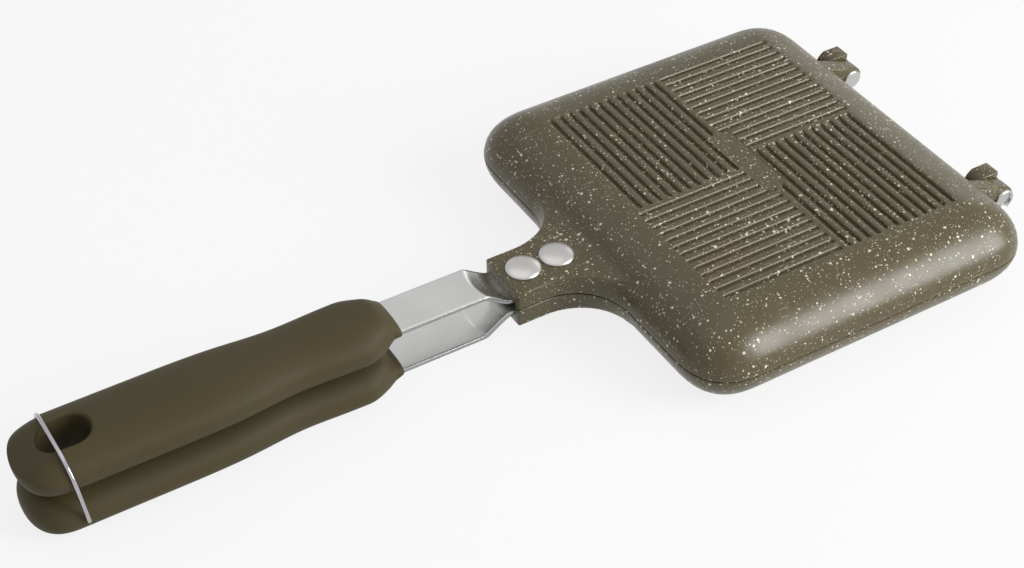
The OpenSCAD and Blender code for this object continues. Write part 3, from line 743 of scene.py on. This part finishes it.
def gripHalves(x):
    # half width of a grip's section, and its height outside and inside of the strap
    tailX = grip["front"] - grip["length"]
    swell = smooth((grip["front"] - grip["frontRound"] - x) / grip["swell"])
    full = grip["bulb"] + (grip["halfWidth"] - grip["bulb"]) * swell
    full -= grip["waist"] * math.exp(-((x - grip["waistX"]) / grip["waistSpread"]) ** 2)
    p = grip["power"]
    if x < tailX + grip["tailRound"]:
        side = max(0, 1 - ((tailX + grip["tailRound"] - x) / grip["tailRound"]) ** p) ** (1 / p)
        roll = max(0, (tailX + grip["tailRoll"] - x) / grip["tailRoll"])
        tall = grip["halfHeight"] * max(0, 1 - roll ** p) ** (1 / p)
        return full * side, tall, tall
    # a short collar round the strap; the back rises from it at once, the inside and the sides later
    behind = grip["collar"] - x
    r = grip["lipRound"]
    tuck = r - math.sqrt(max(0, r ** 2 - max(0, r - (grip["lip"] - x)) ** 2))
    rise = grip["halfHeight"] - grip["noseHeight"]
    risen = math.sin(math.pi / 2 * min(1, (grip["lip"] - x) / grip["backRise"]))
    above = grip["noseHeight"] - tuck + rise * risen
    below = grip["noseHeight"] - tuck + rise * smooth((behind + grip["insideAhead"]) / grip["insideRise"])
    if behind <= 0:
        return grip["noseWidth"] - tuck, above, below
    share = min(1, behind / grip["noseLength"])
    side = (smooth(share) + 1 - (1 - share) ** 2) / 2
    return grip["noseWidth"] + (full - grip["noseWidth"]) * side, above, below


def backOf(x, y, top):
    # the upper grip's back is relieved behind the bail's groove, so that the bail swings past it
    corner, gap = bail["corner"], grip["barGap"]
    over = max(0, abs(y) - bail["half"] + corner)
    reach = math.hypot(grip["pivotX"] - grip["barX"], grip["barZ"] + grip["midZ"])
    reach -= corner - math.sqrt(max(0, corner ** 2 - over ** 2))
    if x < grip["barX"]:
        top = min(top, -grip["midZ"] + math.sqrt(max(0, (reach - gap) ** 2 - (x - grip["pivotX"]) ** 2)))
    if abs(x - grip["barX"]) < gap:
        lean = (grip["barX"] - grip["pivotX"]) / reach
        bar = -grip["midZ"] + reach * math.sqrt(1 - lean ** 2)
        top = min(top, bar - math.sqrt(gap ** 2 - (x - grip["barX"]) ** 2))
    return top


def gripLoop(x, upper):
    halfWidth, above, below = gripHalves(x)
    points, p = [], 2 / grip["power"]
    for i in range(grip["points"]):
        a = math.tau * (i + 0.5) / grip["points"]
        y = halfWidth * math.copysign(abs(math.cos(a)) ** p, math.cos(a))
        z = grip["midZ"] + (above * math.sin(a) ** p if a < math.pi else -below * (-math.sin(a)) ** p)
        if upper and z > grip["midZ"]:
            z = max(grip["midZ"], backOf(x, y, z))
        points.append(Vector((x, y, z)))
    return points


def holeCutter():
    # the hanging hole, flared at both mouths and a little past them
    cutter = bmesh.new()
    loops = []
    flare = grip["holeFlare"]
    past, mouth = grip["holeMouth"]
    low, high = grip["midZ"] - grip["halfHeight"], grip["midZ"] + grip["halfHeight"]
    turns = [math.radians(a) for a in range(25, 91, 13)]
    levels = [(low - past, mouth)] + [(low + flare * (1 - math.cos(t)), 1 - math.sin(t)) for t in turns]
    levels += [(high - (z - low), share) for z, share in reversed(levels)]
    for z, share in levels:
        r = grip["holeRadius"] + flare * share
        loop = []
        for i in range(grip["holePoints"]):
            a = math.tau * i / grip["holePoints"]
            shift = math.copysign(grip["holeShift"], math.cos(a))
            loop.append(Vector((grip["holeX"] + shift + r * math.cos(a), r * math.sin(a), z)))
        loops.append(loop)
    skin(cutter, loops)
    return cutter


def makeGrips(material):
    tailX = grip["front"] - grip["length"]
    bodyX, noseX = tailX + grip["tailRound"], grip["collar"] - grip["noseLength"]
    tailTurns = [math.radians(3 + 87 * i / 16) for i in range(17)]
    tail = [tailX + grip["tailRound"] * (1 - math.cos(t)) for t in tailTurns]
    groove = [grip["barX"] + grip["barGap"] * step for step in grip["grooveSteps"]]
    body = [bodyX + (noseX - bodyX) * i / grip["bodySteps"] for i in range(1, grip["bodySteps"] + 1)]
    noseTurns = [math.radians(90 * i / 20) for i in range(20)]
    nose = [grip["collar"] - grip["noseLength"] * (1 - math.cos(t)) for t in noseTurns]
    nose += [grip["collar"] + past for past in grip["pastCollar"]]
    nose += [grip["lip"] - before for before in grip["beforeLip"]]
    stations = sorted(set(round(x, 3) for x in tail + groove + body + nose))
    for name, lower in (("upper", False), ("lower", True)):
        bm = bmesh.new()
        skin(bm, [gripLoop(x, not lower) for x in stations])
        bm = carved(bm, holeCutter())
        finishPiece(name + "Grip", bm, material, name, [name + "_grip"], lower, crease=40)


rivet = {
    "rear": -99.4, "front": -85.0, "radius": 6.75, "height": 2.2, "seat": 7.7, "brim": 0.35, "shank": 2.5,
    "tail": 4, "tailTop": 1.7, "tailZ": 0.7,
    "rings": (0.12, 0.25, 0.38, 0.5, 0.6, 0.7, 0.79, 0.87, 0.93, 0.97, 0.99),
}


def rivetProfile():
    # (radius, height) from the top of the domed head to the foot of the tail
    r, h, seat, brim = rivet["radius"], rivet["height"], rivet["seat"], rivet["brim"]
    shank, tailR, tailTop, tailZ = rivet["shank"], rivet["tail"], rivet["tailTop"], rivet["tailZ"]
    dome = [(0, seat + h)]
    dome += [(r * s, seat + brim + (h - brim) * (1 - s ** 2.4) ** 0.62) for s in rivet["rings"]]
    edge = [(r, seat + 0.3), (r, seat + 0.12), (r - 0.12, seat), (shank, seat), (shank, tailTop)]
    tail = [(tailR, tailTop), (tailR, tailTop - 0.6), (tailR - 0.4, tailZ), (0, tailZ)]
    return dome + edge + tail


def makeRivets(material):
    for name, lower in (("upper", False), ("lower", True)):
        for place in ("front", "rear"):
            bm = bmesh.new()
            turned(bm, rivetProfile(), 64, (rivet[place], 0, 0))
            piece, node = name + "Rivet" + place.capitalize(), f"{name}_rivet_{place}"
            finishPiece(piece, bm, material, name, [node], lower, crease=50)


pin = {
    "radius": 4.1, "peened": 4.5, "thick": 1, "half": 7.4, "shank": 2, "brim": 0.3,
    "rings": (0.2, 0.4, 0.6, 0.75, 0.86, 0.94, 0.98),
}


def pinProfile():
    # (radius, distance outward) from the domed inner head to the peened outer end
    r, half, thick, brim = pin["radius"], pin["half"], pin["thick"], pin["brim"]
    head = [(0, -half - thick)]
    head += [(r * s, -half - brim - (thick - brim) * (1 - s ** 2.6) ** 0.6) for s in pin["rings"]]
    head += [(r, -half - 0.25), (r, -half), (pin["shank"], -half)]
    r = pin["peened"]
    peened = [(pin["shank"], half), (r, half), (r, half + 0.4), (r - 0.15, half + 0.7),
              (r - 0.45, half + 0.93), (r - 0.75, half + thick), (r - 1.05, half + 0.9),
              (r - 1.3, half + 0.45), (r - 1.5, half + 0.12), (r - 1.9, half + 0.08),
              (r - 2.6, half + 0.3), (r - 3.4, half + 0.42), (0, half + 0.45)]
    return head + peened


def makePins(material):
    for name, middle in hinge["middles"].items():
        bm = bmesh.new()
        turned(bm, pinProfile(), 48, (hinge["pinX"], middle, 0), (0, math.copysign(1, middle), 0))
        piece, node = "hingePin" + name.capitalize(), "hinge_pin_" + name
        finishPiece(piece, bm, material, "upper", [node], crease=45)


bail = {"radius": 0.75, "half": 17.9, "reach": 5, "foot": 1.6, "corner": 11, "sides": 16}


def makeBail(material):
    # half of the wire's path as (across, up the leaning plane), then swept with a round section
    pivot = Vector((grip["pivotX"], 0, -grip["midZ"]))
    up = Vector((grip["barX"], 0, grip["barZ"])) - pivot
    height, half, foot, corner = up.length, bail["half"], bail["foot"], bail["corner"]
    up.normalize()
    path = [(half - bail["reach"], 0)] + arc((half - foot, foot), foot, -90, 0, 6)
    path += arc((half - corner, height - corner), corner, 0, 90, 14)
    path += [(-y, t) for y, t in reversed(path)]
    facing = up.cross(Vector((0, 1, 0)))
    loops = []
    for i, (y, t) in enumerate(path):
        before, after = path[max(i - 1, 0)], path[min(i + 1, len(path) - 1)]
        along = (Vector((0, after[0] - before[0], 0)) + up * (after[1] - before[1])).normalized()
        middle = pivot + Vector((0, y, 0)) + up * t
        loops.append([middle + bail["radius"] * (math.cos(a) * facing + math.sin(a) * along.cross(facing))
                      for a in (math.tau * k / bail["sides"] for k in range(bail["sides"]))])
    bm = bmesh.new()
    skin(bm, loops)
    finishPiece("wireBail", bm, material, "bail", ["wire_bail"])


bpy.context.scene.view_settings.view_transform = "Standard"
setCamera()
setLamps()
setWorld()
setFloor()
print("studio ready")

coatFinish = speckledCoat()
rubberFinish = gripRubber()
strapFinish = metal("strapSteel")
rivetFinish = metal("rivetMetal")
pinFinish = metal("pinSteel")
wireFinish = metal("bailWire")

makePans(coatFinish)
print("pans made")
makeStraps(strapFinish)
makeGrips(rubberFinish)
print("handles made")
makeRivets(rivetFinish)
makePins(pinFinish)
makeBail(wireFinish)
print("rivets, pins and bail made")

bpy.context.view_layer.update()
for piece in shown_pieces():
    print(piece.name, len(piece.data.polygons))
